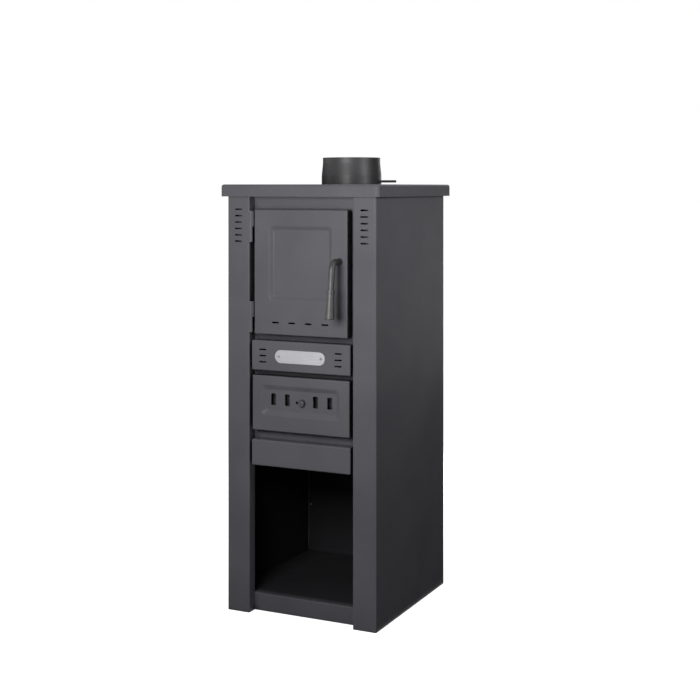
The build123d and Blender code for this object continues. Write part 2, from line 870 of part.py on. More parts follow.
# Channels that carry the firebox above the storage roof
support_top = firebox_low - firebox_sheet
support_low = storage_top + casing_sheet
with BuildPart() as firebox_supports:
    for s in (-1, 1):
        with BuildSketch(facing(2 * frame_back)):
            with BuildLine():
                FilletPolyline(
                    (s * (support_x + support_flange), support_low + casing_sheet / 2),
                    (s * support_x, support_low + casing_sheet / 2),
                    (s * support_x, support_top - casing_sheet / 2),
                    (s * (support_x + support_flange), support_top - casing_sheet / 2),
                    radius=bend_r - casing_sheet / 2,
                )
            trace(line_width=casing_sheet)
        extrude(amount=-(firebox_back - 3 * frame_back))
save(firebox_supports, "firebox_supports")

# Angle rails inside the firebox that carry the grate seat
with BuildPart() as seat_rails:
    for s in (-1, 1):
        outer = s * (chamber_half - rail_sheet / 2)
        with BuildSketch(facing(2 * frame_back)):
            with BuildLine():
                FilletPolyline(
                    (outer, seat_low - rail_leg),
                    (outer, seat_low - rail_sheet / 2),
                    (outer - s * rail_leg, seat_low - rail_sheet / 2),
                    radius=bend_r,
                )
            trace(line_width=rail_sheet)
        extrude(amount=-(firebox_back - 3 * frame_back))
save(seat_rails, "seat_rails")

# Grate seat: the cast floor of the firebox, with a rebate that holds the grate
seat_length = firebox_back - firebox_sheet - gap - frame_back - gap
seat_centre = (0, front_y + (seat_front + seat_back) / 2)
with BuildPart() as grate_seat:
    with BuildSketch(Plane.XY.offset(seat_low)):
        with Locations((0, front_y + frame_back + gap + seat_length / 2)):
            Rectangle(2 * (chamber_half - gap), seat_length)
        with Locations(seat_centre):
            Rectangle(2 * seat_half_width, seat_back - seat_front, mode=Mode.SUBTRACT)
    extrude(amount=seat_plate)
    rear_corners = grate_seat.edges().filter_by(Axis.Z).group_by(Axis.Y)[-1]
    fillet(rear_corners, firebox_bend_r)
    with BuildSketch(Plane.XY.offset(seat_top)):
        with Locations(seat_centre):
            Rectangle(2 * (seat_half_width + rebate), seat_back - seat_front + 2 * rebate)
    extrude(amount=-rebate_depth, mode=Mode.SUBTRACT)
save(grate_seat, "grate_seat")

# Grate: cast bars with rounded slots, wider below so that ash falls free
grate_half = seat_half_width + rebate - gap
grate_length = seat_back - seat_front + 2 * rebate - 2 * gap
slot_length = (grate_length - 3 * grate_bridge) / grate_rows
with BuildPart() as grate:
    with BuildSketch(Plane.XY.offset(seat_top - rebate_depth)):
        with Locations(seat_centre):
            RectangleRounded(2 * grate_half, grate_length, rebate / 2)
    extrude(amount=grate_thickness)
    top_rim = grate.faces().sort_by(Axis.Z)[-1].edges()
    chamfer(top_rim, grate_thickness / 6)
    with BuildSketch(Plane.XY.offset(seat_top - rebate_depth)):
        with Locations(seat_centre):
            with GridLocations(grate_pitch, slot_length + grate_bridge, grate_columns, grate_rows):
                SlotOverall(slot_length, grate_slot, rotation=90)
    extrude(amount=grate_thickness, mode=Mode.SUBTRACT)
save(grate, "grate")

# Firebricks on three sides, standing on the grate seat
brick_back = firebox_back - firebox_sheet - gap
for side_name, side in (("left", -1), ("right", 1)):
    brick_x = side * (chamber_half - gap - brick_thickness / 2)
    with BuildPart() as brick:
        with BuildSketch(Plane.XY.offset(seat_top)):
            with Locations((brick_x, front_y + (brick_front + brick_back) / 2)):
                Rectangle(brick_thickness, brick_back - brick_front)
        extrude(amount=brick_height)
        rear_edges = brick.edges().filter_by(Axis.Z).group_by(Axis.Y)[-1]
        fillet(rear_edges.sort_by(Axis.X)[0 if side < 0 else -1], firebox_bend_r)
    save(brick, f"{side_name}_firebrick")

with BuildPart() as rear_firebrick:
    with BuildSketch(Plane.XY.offset(seat_top)):
        with Locations((0, front_y + brick_back - brick_thickness / 2)):
            Rectangle(2 * (chamber_half - 2 * gap - brick_thickness), brick_thickness)
    extrude(amount=brick_height)
save(rear_firebrick, "rear_firebrick")

# Baffle: lies on the bricks and sends the smoke forward before it rises
with BuildPart() as baffle:
    with BuildSketch(Plane.XY.offset(brick_top)):
        with Locations((0, front_y + (baffle_front + brick_back) / 2)):
            Rectangle(2 * (chamber_half - gap), brick_back - baffle_front)
    extrude(amount=baffle_thickness)
    fillet(baffle.edges().filter_by(Axis.Z).group_by(Axis.Y)[-1], firebox_bend_r)
save(baffle, "baffle")

# Fuel guard: a bent plate on the grate seat that keeps the embers off the door
with BuildPart() as fuel_guard:
    with BuildSketch(Plane.YZ.offset(-guard_half_width)):
        with BuildLine():
            FilletPolyline(
                (front_y + guard_front + guard_foot, seat_top + guard_sheet / 2),
                (front_y + guard_front, seat_top + guard_sheet / 2),
                (front_y + guard_front, seat_top + guard_height),
                radius=bend_r,
            )
        trace(line_width=guard_sheet)
    extrude(amount=2 * guard_half_width)
save(fuel_guard, "fuel_guard")

# Ash drawer: pressed front with its air slots
slot_places = [(n * ash_slot_pitch, ash_slot_z) for n in (-2, -1, 1, 2)]
with BuildPart() as ash_front:
    add(folded_pan(ash_half_width, ash_low, ash_top, ash_back, door_edge_r))
    pressed_field(
        ash_field_half_width, ash_field_low, ash_field_top, ash_field_slope, ash_field_depth, field_corner_r
    )
    soften_field(ash_front, ash_field_depth, field_soft_r)
    with BuildSketch(facing(0)):
        with Locations(*slot_places):
            RectangleRounded(ash_slot_width, ash_slot_height, ash_slot_corner_r)
        with Locations((knob_x - slide_travel / 2, knob_z)):
            SlotOverall(slide_travel + 2 * (knob_stem_r + gap), 2 * (knob_stem_r + gap))
    extrude(amount=-(ash_field_depth + 2 * casing_sheet), mode=Mode.SUBTRACT)
save(ash_front, "ash_front")

# Back sheet of the drawer front, with the air holes above the pan
pan_top = pan_low + pan_height
pan_bolt_places = [(s * pan_half_width / 2, pan_low + pan_height / 2) for s in (-1, 1)]
with BuildPart() as ash_front_back:
    with BuildSketch(facing(ash_back)):
        with Locations((0, ash_mid)):
            RectangleRounded(2 * ash_half_width, ash_top - ash_low, door_edge_r)
        hole_z = (pan_top + ash_top - ash_overlap) / 2
        with Locations(*[(x, hole_z) for x, z in slot_places]):
            SlotOverall(back_hole_length, back_hole_height, mode=Mode.SUBTRACT)
        with Locations(*pan_bolt_places):
            Circle(pan_bolt_r + hole_clearance, mode=Mode.SUBTRACT)
    extrude(amount=-casing_sheet)
save(ash_front_back, "ash_front_back")

with BuildPart() as ash_pan:
    pan_front = front_y + ash_back + casing_sheet
    with BuildSketch(Plane.XY.offset(pan_low)):
        with Locations((0, pan_front + pan_length / 2)):
            RectangleRounded(2 * pan_half_width, pan_length, pan_corner_r)
    extrude(amount=pan_height)
    fillet(ash_pan.faces().sort_by(Axis.Z)[0].edges(), bend_r)
    offset(amount=-pan_sheet, openings=ash_pan.faces().sort_by(Axis.Z)[-1])
    with BuildSketch(facing(ash_back + casing_sheet)):
        with Locations(*pan_bolt_places):
            Circle(pan_bolt_r + hole_clearance)
    extrude(amount=-2 * pan_sheet, mode=Mode.SUBTRACT)
save(ash_pan, "ash_pan")

with BuildPart() as pan_bolts:
    for place in pan_bolt_places:
        with BuildSketch(facing(ash_back)):
            with Locations(place):
                RegularPolygon(2 * pan_bolt_r, 6)
        extrude(amount=pan_bolt_head)
        with BuildSketch(facing(ash_back)):
            with Locations(place):
                Circle(pan_bolt_r)
        extrude(amount=-(casing_sheet + pan_sheet + pan_bolt_end))
save(pan_bolts, "pan_bolts")

with BuildPart() as pan_nuts:
    for place in pan_bolt_places:
        with BuildSketch(facing(ash_back + casing_sheet + pan_sheet)):
            with Locations(place):
                RegularPolygon(2 * pan_bolt_r, 6)
                Circle(pan_bolt_r + weld_nut_clearance, mode=Mode.SUBTRACT)
        extrude(amount=-pan_nut)
save(pan_nuts, "pan_nuts")

# Runners that carry the pan, each a folded strip with a guide lip
runner_shelf = pan_low - gap - runner_sheet / 2
runner_x = pan_half_width + gap + runner_sheet / 2
with BuildPart() as drawer_runners:
    for s in (-1, 1):
        with BuildSketch(facing(frame_back + gap)):
            with BuildLine():
                FilletPolyline(
                    (s * runner_foot_x, firebox_low + runner_sheet / 2),
                    (s * runner_riser_x, firebox_low + runner_sheet / 2),
                    (s * runner_riser_x, runner_shelf),
                    (s * (runner_x + gap), runner_shelf),
                    (s * (runner_x + gap), runner_shelf + runner_lip),
                    radius=runner_sheet,
                )
            trace(line_width=runner_sheet)
        extrude(amount=-pan_length)
save(drawer_runners, "drawer_runners")

# Air slide: the plate behind the front, with matching slots
with BuildPart() as air_slide_plate:
    with BuildSketch(facing(slide_depth)):
        with Locations((0, slide_low + slide_height / 2)):
            Rectangle(2 * slide_half_length, slide_height)
        with Locations(*slot_places):
            RectangleRounded(ash_slot_width, ash_slot_height, ash_slot_corner_r, mode=Mode.SUBTRACT)
        with Locations((knob_x, knob_z)):
            Circle(knob_stem_r + weld_nut_clearance, mode=Mode.SUBTRACT)
    extrude(amount=-slide_sheet)
save(air_slide_plate, "air_slide_plate")

# Air knob: a turned button whose stem is riveted in the slide
with BuildPart() as air_knob:
    with BuildSketch(facing(slide_depth + slide_sheet)):
        with Locations((knob_x, knob_z)):
            Circle(knob_stem_r)
    extrude(amount=slide_depth + slide_sheet - ash_field_depth + gap)
    with BuildSketch(facing(ash_field_depth - gap)):
        with Locations((knob_x, knob_z)):
            Circle(knob_r)
    extrude(amount=knob_reach)
    fillet(air_knob.faces().sort_by(Axis.Y)[0].edges(), knob_r / 2)
    with BuildSketch(facing(slide_depth + slide_sheet)):
        with Locations((knob_x, knob_z)):
            Circle(knob_rivet_r)
    extrude(amount=-knob_rivet)
save(air_knob, "air_knob")

# Guides that hold the slide against the front
with BuildPart() as slide_guides:
    slide_mid = slide_low + slide_height / 2
    foot_d = front_y + ash_field_depth + casing_sheet + guide_sheet / 2
    cover_d = front_y + slide_depth + slide_sheet + gap + guide_sheet / 2
    for s in (-1, 1):
        edge_z = slide_mid + s * (slide_height / 2 + gap)
        with BuildSketch(Plane.YZ.offset(-slide_half_length)):
            with BuildLine():
                Polyline(
                    (foot_d, edge_z + s * guide_foot),
                    (foot_d, edge_z + s * guide_sheet / 2),
                    (cover_d, edge_z + s * guide_sheet / 2),
                    (cover_d, edge_z - s * guide_foot / 2),
                )
            trace(line_width=guide_sheet)
        extrude(amount=2 * slide_half_length)
save(slide_guides, "slide_guides")

# Flue collar: cast spigot with its flange, on a gasket
collar_low = firebox_top + firebox_sheet + gasket_sheet
collar_straight_top = plate_top + collar_straight
with BuildPart() as flue_collar:
    with BuildSketch(Plane.XZ.offset(-flue_y)):
        with BuildLine():
            Polyline(
                (collar_bore_r, collar_low),
                (collar_flange_r, collar_low),
                (collar_flange_r, collar_low + collar_flange),
                (collar_base_r, collar_low + collar_flange),
                (collar_base_r, collar_straight_top),
                (collar_top_r, collar_top - collar_land),
                (collar_top_r, collar_top),
                (collar_bore_r, collar_top),
                (collar_bore_r, collar_low),
            )
        make_face()
    revolve(axis=Axis((0, flue_y, 0), (0, 0, 1)))
    with BuildSketch(Plane.XY.offset(collar_low)):
        with Locations((0, flue_y)):
            with GridLocations(2 * collar_bolt_offset, 2 * collar_bolt_offset, 2, 2):
                Circle(collar_bolt_r + hole_clearance)
    extrude(amount=collar_flange, mode=Mode.SUBTRACT)
    with BuildSketch(Plane.YZ.offset(-collar_flange_r)):
        with Locations((flue_y, damper_z)):
            Circle(damper_rod_r + damper_running)
    extrude(amount=2 * collar_flange_r, mode=Mode.SUBTRACT)
save(flue_collar, "flue_collar")

with BuildPart() as collar_gasket:
    with BuildSketch(Plane.XY.offset(firebox_top + firebox_sheet)):
        with Locations((0, flue_y)):
            Circle(collar_flange_r)
            Circle(collar_bore_r, mode=Mode.SUBTRACT)
            with GridLocations(2 * collar_bolt_offset, 2 * collar_bolt_offset, 2, 2):
                Circle(collar_bolt_r + hole_clearance, mode=Mode.SUBTRACT)
    extrude(amount=gasket_sheet)
save(collar_gasket, "collar_gasket")

bolt_grip = collar_flange + gasket_sheet + firebox_sheet
with BuildPart() as collar_bolts:
    with BuildSketch(Plane.XY.offset(collar_low + collar_flange)):
        with Locations((0, flue_y)):
            with GridLocations(2 * collar_bolt_offset, 2 * collar_bolt_offset, 2, 2):
                RegularPolygon(collar_bolt_head_r, 6)
    extrude(amount=collar_bolt_head)
    with BuildSketch(Plane.XY.offset(collar_low + collar_flange)):
        with Locations((0, flue_y)):
            with GridLocations(2 * collar_bolt_offset, 2 * collar_bolt_offset, 2, 2):
                Circle(collar_bolt_r)
    extrude(amount=-(bolt_grip + collar_bolt_end))
save(collar_bolts, "collar_bolts")

with BuildPart() as collar_nuts:
    with BuildSketch(Plane.XY.offset(firebox_top)):
        with Locations((0, flue_y)):
            with GridLocations(2 * collar_bolt_offset, 2 * collar_bolt_offset, 2, 2):
                RegularPolygon(collar_bolt_head_r, 6)
                Circle(collar_bolt_r + weld_nut_clearance, mode=Mode.SUBTRACT)
    extrude(amount=-collar_nut)
save(collar_nuts, "collar_nuts")

# Damper: a disc under its rod, held by two straps
disc_top = damper_z - damper_rod_r - weld_nut_clearance
with BuildPart() as damper_disc:
    with BuildSketch(Plane.XY.offset(disc_top)):
        with Locations((0, flue_y)):
            Circle(damper_r)
    extrude(amount=-damper_sheet)
save(damper_disc, "damper_disc")

with BuildPart() as damper_rod:
    with BuildSketch(Plane.YZ.offset(-collar_base_r + gap)):
        with Locations((flue_y, damper_z)):
            Circle(damper_rod_r)
    extrude(amount=collar_base_r - gap + damper_rod_reach)
    fillet(damper_rod.faces().sort_by(Axis.X)[-1].edges(), damper_rod_r / 2)
save(damper_rod, "damper_rod")

with BuildPart() as damper_straps:
    strap_width = 4 * damper_rod_r
    strap_inner = damper_rod_r + weld_nut_clearance
    for s in (-1, 1):
        with BuildSketch(Plane.YZ.offset(s * damper_r / 2 - strap_width / 2)):
            with Locations((flue_y, damper_z)):
                Circle(strap_inner + clamp_sheet)
            with Locations((flue_y, disc_top)):
                Rectangle(2 * (strap_inner + clamp_sheet), strap_inner, align=(Align.CENTER, Align.MIN))
                Rectangle(8 * damper_rod_r, clamp_sheet, align=(Align.CENTER, Align.MIN))
            with Locations((flue_y, damper_z)):
                Circle(strap_inner, mode=Mode.SUBTRACT)
            with Locations((flue_y, disc_top)):
                Rectangle(2 * strap_inner, strap_inner, align=(Align.CENTER, Align.MIN), mode=Mode.SUBTRACT)
                Rectangle(
                    4 * collar_base_r, collar_base_r, align=(Align.CENTER, Align.MAX), mode=Mode.SUBTRACT
                )
        extrude(amount=strap_width)
save(damper_straps, "damper_straps")
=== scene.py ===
import json
import math

import bpy
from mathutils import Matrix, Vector


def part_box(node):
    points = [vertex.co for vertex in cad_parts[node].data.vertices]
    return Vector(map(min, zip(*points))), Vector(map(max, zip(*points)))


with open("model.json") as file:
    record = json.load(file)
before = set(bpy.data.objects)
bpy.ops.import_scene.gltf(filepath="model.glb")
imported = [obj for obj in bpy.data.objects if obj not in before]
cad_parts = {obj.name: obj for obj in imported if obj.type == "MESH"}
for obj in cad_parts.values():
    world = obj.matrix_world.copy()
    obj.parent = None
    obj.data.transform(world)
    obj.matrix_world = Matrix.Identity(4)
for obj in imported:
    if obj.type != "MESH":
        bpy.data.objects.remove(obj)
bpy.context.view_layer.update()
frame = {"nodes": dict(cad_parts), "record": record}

# Places that follow from the frame
FRONT_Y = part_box("left_side_panel")[0].y
PLATE_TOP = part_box("top_plate")[1].z
SIDE_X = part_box("right_side_panel")[1].x
REAR_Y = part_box("rear_panel")[1].y

# Where paint inside the casing is darkened as painted shade: its start and full strength behind the
# front, and how far under the outer faces it starts
INSIDE_SHADE_FROM = 0.02
INSIDE_SHADE_FULL = 0.045
SKIN = 0.0004

# Painted shade in gaps in the paint: how far a gap's sides may stand apart, and the shares of open sky
# between which the gap is darkened
GAP_REACH = 0.02
GAP_OPEN = 0.62
GAP_DEEP = 0.2

# Worn edges: how wide they are, and the cosines of turn between which wear sets in
WORN_EDGE = 0.0006
EDGE_FLAT = 0.995
EDGE_SHARP = 0.8

# How much of the soot-and-shade colour the inside and the gaps take, as painted shade
INSIDE_SHADE = 0.78
GAP_SHADE = 0.95
COLLAR_GAP_SHADE = 0.9

# Camera: eye height and place measured from the front's middle, turned about the vertical
EYE_RIGHT = 1.158
EYE_OUT = 2.1884
EYE_HEIGHT = 0.825
EYE_TURN = math.radians(25.68)
SENSOR = 36.0
LENS = 66.93
SHIFT_Y = -0.2329
VIEW_DEPTH = 200.0

# Colours as sRGB shares
PAINT = (0.383, 0.38, 0.4)
PAINT_DEEP = (0.355, 0.351, 0.373)
# The collar's colours: the panel paint made darker, as painted shade
COLLAR_SHADED = (0.215, 0.213, 0.224)
COLLAR_SHADED_DEEP = (0.185, 0.183, 0.192)
BARE_EDGE = (0.55, 0.545, 0.55)
SOOT_AND_SHADE = (0.03, 0.029, 0.028)
INNER = (0.075, 0.073, 0.072)
ASH_DUST = (0.36, 0.35, 0.34)
STREAK = (0.3, 0.3, 0.3)
IRON = (0.17, 0.165, 0.16)
IRON_RUST = (0.28, 0.19, 0.14)
BRICK = (0.74, 0.66, 0.54)
BRICK_DARK = (0.5, 0.42, 0.33)
BRICK_PORE = (0.33, 0.27, 0.22)
BRICK_SOOT = (0.16, 0.145, 0.13)
ROPE = (0.78, 0.76, 0.71)
ROPE_STAIN = (0.34, 0.32, 0.3)
ROPE_FIBRE = (0.52, 0.5, 0.46)
PAPER = (0.8, 0.79, 0.76)
PAPER_DARK = (0.62, 0.6, 0.56)
BADGE = (0.65, 0.646, 0.664)
BADGE_BRIGHT = (0.73, 0.726, 0.746)
BADGE_CLOUD = (0.6, 0.596, 0.612)
STEEL = (0.3, 0.299, 0.303)
STEEL_WARM = (0.25, 0.248, 0.247)
STEEL_SPECK = (0.18, 0.178, 0.177)
ZINC = (0.62, 0.62, 0.61)
ZINC_SPANGLE = (0.48, 0.47, 0.45)
ZINC_STAIN = (0.33, 0.31, 0.29)
FLOOR = (0.93, 0.93, 0.93)
FLOOR_PALE = (0.97, 0.97, 0.97)
FLOOR_BOUNCE = (0.2, 0.2, 0.2)

# How glossy the paint is, on panels and on the collar
PAINT_GLOSS = 0.08
COLLAR_GLOSS = 0.42

# Lamps: name, place, aim, size in metres and power in watts; then the world's share of the light
LAMPS = (
    ("key", (0.1, FRONT_Y - 0.9, 0.8), (0.1, FRONT_Y, 0.8), (0.4, 0.4), 8.9),
    ("strip", (1.15, FRONT_Y - 0.02, 1.02), (0.0, 0.0, 1.0), (0.4, 0.4), 5.1),
    ("left", (-1.3, 0.1, 0.45), (0.0, 0.1, 0.45), (0.5, 0.5), 6.0),
    ("back", (0.0, 1.5, 0.5), (0.0, 0.2, 0.45), (0.5, 0.5), 7.0),
    ("top", (0.0, 0.1, 2.4), (0.0, 0.0, 0.8), (1.0, 1.0), 6.0),
)
AMBIENT = 0.03

# Black cards: name, place, aim, width and height
FLAGS = (
    ("flag_right", (1.9, 1.3, 0.9), (0.0, 0.0, 0.9), 3.4, 3.0),
    ("flag_low", (1.712, 1.4, 0.001), (1.712, 1.4, 1.0), 3.1, 3.1),
    ("flag_left", (-1.9, 1.3, 0.9), (0.0, 0.0, 0.9), 3.4, 3.0),
)

# The world's white and the cards' two near blacks, as linear colours
WHITE = (1, 1, 1, 1)
CARD_BLACK = (0.002, 0.002, 0.002, 1)
CARD_SOFT = (0.004, 0.004, 0.004, 1)

# Floor: its side, and its own glow, which rises from low to full between two distances from the middle
FLOOR_SIZE = 120.0
GLOW_NEAR = 0.2
GLOW_FAR = 0.5
GLOW_LOW = 0.8
GLOW_FULL = 1.0


def linear(colour):
    """An sRGB colour as the linear RGBA that sockets take."""
    parts = [c / 12.92 if c <= 0.04045 else ((c + 0.055) / 1.055) ** 2.4 for c in colour]
    return (*parts, 1.0)


class Graph:
    """A material's node tree, with short calls for the nodes that the finishes share."""

    def __init__(self, name):
        self.material = bpy.data.materials.new(name)
        self.material.use_nodes = True
        self.tree = self.material.node_tree
        self.shader = self.tree.nodes["Principled BSDF"]
        self.output = self.tree.nodes["Material Output"]
        self.place = self.tree.nodes.new("ShaderNodeTexCoord").outputs["Object"]

    def node(self, kind, **settings):
        made = self.tree.nodes.new(kind)
        for key, value in settings.items():
            setattr(made, key, value)
        return made

    def link(self, source, target):
        self.tree.links.new(source, target)

    def put(self, target, value):
        if hasattr(value, "is_linked"):
            self.link(value, target)
        else:
            target.default_value = value

    def scaled(self, scale):
        """The object's place, stretched per axis."""
        mapping = self.node("ShaderNodeMapping")
        mapping.inputs["Scale"].default_value = scale
        self.link(self.place, mapping.inputs["Vector"])
        return mapping.outputs["Vector"]

    def noise(self, scale, detail=3.0, rough=0.55, where=None):
        made = self.node("ShaderNodeTexNoise")
        made.inputs["Scale"].default_value = scale
        made.inputs["Detail"].default_value = detail
        made.inputs["Roughness"].default_value = rough
        self.link(where or self.place, made.inputs["Vector"])
        return made.outputs["Fac"]

    def cells(self, scale):
        made = self.node("ShaderNodeTexVoronoi")
        made.inputs["Scale"].default_value = scale
        self.link(self.place, made.inputs["Vector"])
        return made.outputs["Distance"]

    def spread(self, value, low, high, out_low=0.0, out_high=1.0):
        """Maps a value from one range to another and clamps it."""
        made = self.node("ShaderNodeMapRange")
        self.put(made.inputs["Value"], value)
        made.inputs["From Min"].default_value = low
        made.inputs["From Max"].default_value = high
        made.inputs["To Min"].default_value = out_low
        made.inputs["To Max"].default_value = out_high
        return made.outputs["Result"]

    def math(self, operation, a, b):
        made = self.node("ShaderNodeMath", operation=operation)
        self.put(made.inputs[0], a)
        self.put(made.inputs[1], b)
        return made.outputs["Value"]

    def mix(self, factor, a, b):
        """Mixes two colours, each a tuple or a socket. The node's colour sockets go by number."""
        made = self.node("ShaderNodeMix", data_type="RGBA")
        self.put(made.inputs["Factor"], factor)
        self.put(made.inputs[6], a)
        self.put(made.inputs[7], b)
        return made.outputs[2]

    def height(self):
        """The height above the floor, in metres."""
        made = self.node("ShaderNodeSeparateXYZ")
        self.link(self.place, made.inputs["Vector"])
        return made.outputs["Z"]

    def inside(self):
        """1 on what lies well inside the casing, 0 on its outer faces and just behind its front."""
        made = self.node("ShaderNodeSeparateXYZ")
        self.link(self.place, made.inputs["Vector"])
        behind = self.spread(made.outputs["Y"], FRONT_Y + INSIDE_SHADE_FROM, FRONT_Y + INSIDE_SHADE_FULL)
        before = self.spread(made.outputs["Y"], REAR_Y - SKIN, REAR_Y - 2 * SKIN)
        aside = self.math("ABSOLUTE", made.outputs["X"], 0.0)
        within = self.spread(aside, SIDE_X - SKIN, SIDE_X - 2 * SKIN)
        under = self.spread(made.outputs["Z"], PLATE_TOP - SKIN, PLATE_TOP - 2 * SKIN)
        along = self.math("MULTIPLY", behind, before)
        return self.math("MULTIPLY", along, self.math("MULTIPLY", within, under))

    def crevice(self, reach):
        """Near 1 deep in narrow gaps, 0 on open faces."""
        made = self.node("ShaderNodeAmbientOcclusion", samples=8)
        made.inputs["Distance"].default_value = reach
        return self.spread(made.outputs["AO"], GAP_OPEN, GAP_DEEP)

    def edges(self, radius):
        """Near 1 on convex and concave edges, 0 on flat stretches."""
        bevel = self.node("ShaderNodeBevel", samples=6)
        bevel.inputs["Radius"].default_value = radius
        plain = self.node("ShaderNodeNewGeometry")
        dot = self.node("ShaderNodeVectorMath", operation="DOT_PRODUCT")
        self.link(bevel.outputs["Normal"], dot.inputs[0])
        self.link(plain.outputs["Normal"], dot.inputs[1])
        return self.spread(dot.outputs["Value"], EDGE_FLAT, EDGE_SHARP)

    def bumps(self, *layers):
        """Stacks bump layers of (height, strength, distance) on the shader's normal."""
        last = None
        for value, strength, distance in layers:
            bump = self.node("ShaderNodeBump")
            bump.inputs["Strength"].default_value = strength
            bump.inputs["Distance"].default_value = distance
            self.link(value, bump.inputs["Height"])
            if last:
                self.link(last, bump.inputs["Normal"])
            last = bump.outputs["Normal"]
        self.link(last, self.shader.inputs["Normal"])

    def finish(self, colour, rough, metallic=0.0, **fixed):
        self.put(self.shader.inputs["Base Color"], colour)
        self.put(self.shader.inputs["Roughness"], rough)
        self.shader.inputs["Metallic"].default_value = metallic
        for key, value in fixed.items():
            self.shader.inputs[key.replace("_", " ")].default_value = value
        return self.material


def paint_material():
    """Satin anthracite stove paint: sprayed grain, faint clouds, worn edges, painted shade in the gaps
    and inside.
    """
    g = Graph("anthracite_paint")
    cloud = g.noise(7.0, 4.0)
    grain = g.noise(1400.0, 2.0, 0.6)
    peel = g.noise(420.0, 2.0, 0.5)
    fleck = g.noise(2600.0, 1.0, 0.5)
    base = g.mix(g.spread(cloud, 0.35, 0.65), linear(PAINT_DEEP), linear(PAINT))
    base = g.mix(g.spread(fleck, 0.66, 0.74, 0.0, 0.35), base, linear(BARE_EDGE))
    chips = g.spread(g.noise(90.0, 5.0, 0.7), 0.5, 0.72, 0.0, 0.45)
    wear = g.math("MULTIPLY", g.edges(WORN_EDGE), chips)
    base = g.mix(wear, base, linear(BARE_EDGE))
    # Painted shade: the inside of the casing and the narrow gaps are darkened towards the
    # soot-and-shade colour
    within = g.math("MULTIPLY", g.inside(), INSIDE_SHADE)
    gaps = g.math("MULTIPLY", g.crevice(GAP_REACH), GAP_SHADE)
    base = g.mix(g.math("MAXIMUM", within, gaps), base, linear(SOOT_AND_SHADE))
    rough = g.spread(g.noise(35.0, 4.0), 0.3, 0.7, 0.33, 0.4)
    g.bumps((grain, 0.1, 0.0002), (peel, 0.08, 0.0004))
    return g.finish(base, rough, Specular_IOR_Level=PAINT_GLOSS)


def collar_material():
    """The same paint on the collar and the small turned pieces, smoother and glossier, its colour
    darkened as painted shade.
    """
    g = Graph("collar_paint")
    cloud = g.noise(22.0, 4.0)
    cast = g.noise(260.0, 4.0, 0.6)
    # Painted shade: a darker copy of the panel paint, and narrow gaps darkened towards the
    # soot-and-shade colour
    base = g.mix(g.spread(cloud, 0.3, 0.7), linear(COLLAR_SHADED_DEEP), linear(COLLAR_SHADED))
    gaps = g.math("MULTIPLY", g.crevice(GAP_REACH), COLLAR_GAP_SHADE)
    base = g.mix(gaps, base, linear(SOOT_AND_SHADE))
    rough = g.spread(g.noise(60.0, 3.0), 0.3, 0.7, 0.42, 0.47)
    g.bumps((cast, 0.12, 0.0003), (g.noise(40.0, 2.0), 0.1, 0.0006))
    return g.finish(base, rough, Specular_IOR_Level=COLLAR_GLOSS)


def inner_material():
    """Matt black coat inside the stove, with soot clouds and grey ash dust on what faces up."""
    g = Graph("inner_steel")
    soot = g.noise(30.0, 5.0, 0.65)
    dust = g.noise(160.0, 4.0, 0.6)
    up = g.node("ShaderNodeSeparateXYZ")
    face = g.node("ShaderNodeNewGeometry")
    g.link(face.outputs["Normal"], up.inputs["Vector"])
    level = g.spread(up.outputs["Z"], 0.6, 1.0)
    settled = g.math("MULTIPLY", level, g.spread(dust, 0.45, 0.7, 0.0, 0.35))
    base = g.mix(g.spread(soot, 0.35, 0.65), linear(INNER), linear(SOOT_AND_SHADE))
    base = g.mix(settled, base, linear(ASH_DUST))
    rough = g.spread(soot, 0.3, 0.7, 0.6, 0.85)
    g.bumps((g.noise(700.0, 3.0), 0.25, 0.0003), (soot, 0.15, 0.0008))
    return g.finish(base, rough, Specular_IOR_Level=0.08)


def pan_material():
    """Sheet steel of the ash pan and what guides it, matt black with worn, greyer streaks."""
    g = Graph("pan_steel")
    streak = g.noise(60.0, 5.0, 0.7, g.scaled((1.0, 0.12, 1.0)))
    base = g.mix(g.spread(streak, 0.42, 0.68, 0.0, 0.6), linear(INNER), linear(STREAK))
    rough = g.spread(streak, 0.3, 0.7, 0.65, 0.45)
    g.bumps((streak, 0.2, 0.0003), (g.noise(900.0, 2.0), 0.15, 0.0002))
    return g.finish(base, rough, Specular_IOR_Level=0.4)


def iron_material():
    """Cast iron: coarse sand-cast grain, patches of soot, and some dull rust on the grains."""
    g = Graph("cast_iron")
    sand = g.noise(330.0, 5.0, 0.65)
    patch = g.noise(26.0, 4.0)
    base = g.mix(g.spread(patch, 0.4, 0.7), linear(IRON), linear(SOOT_AND_SHADE))
    base = g.mix(g.math("MULTIPLY", g.spread(sand, 0.52, 0.75), 0.45), base, linear(IRON_RUST))
    g.bumps((sand, 0.55, 0.0006), (patch, 0.2, 0.002))
    return g.finish(base, g.spread(sand, 0.3, 0.7, 0.62, 0.82), 0.0, Specular_IOR_Level=0.35)


def brick_material():
    """Firebrick: pale grainy board with pores, more sooted the higher it stands."""
    g = Graph("firebrick")
    grain = g.noise(240.0, 4.0, 0.6)
    pores = g.cells(520.0)
    cloud = g.noise(14.0, 5.0, 0.6)
    rise = g.spread(g.math("ADD", g.height(), g.math("MULTIPLY", cloud, 0.16)), 0.6, 0.86)
    base = g.mix(g.spread(grain, 0.35, 0.65), linear(BRICK_DARK), linear(BRICK))
    base = g.mix(g.spread(pores, 0.22, 0.05, 0.0, 0.7), base, linear(BRICK_PORE))
    base = g.mix(g.math("MULTIPLY", rise, 0.8), base, linear(BRICK_SOOT))
    g.bumps((grain, 0.5, 0.0006), (pores, 0.35, 0.0004))
    return g.finish(base, 0.92, Specular_IOR_Level=0.2)


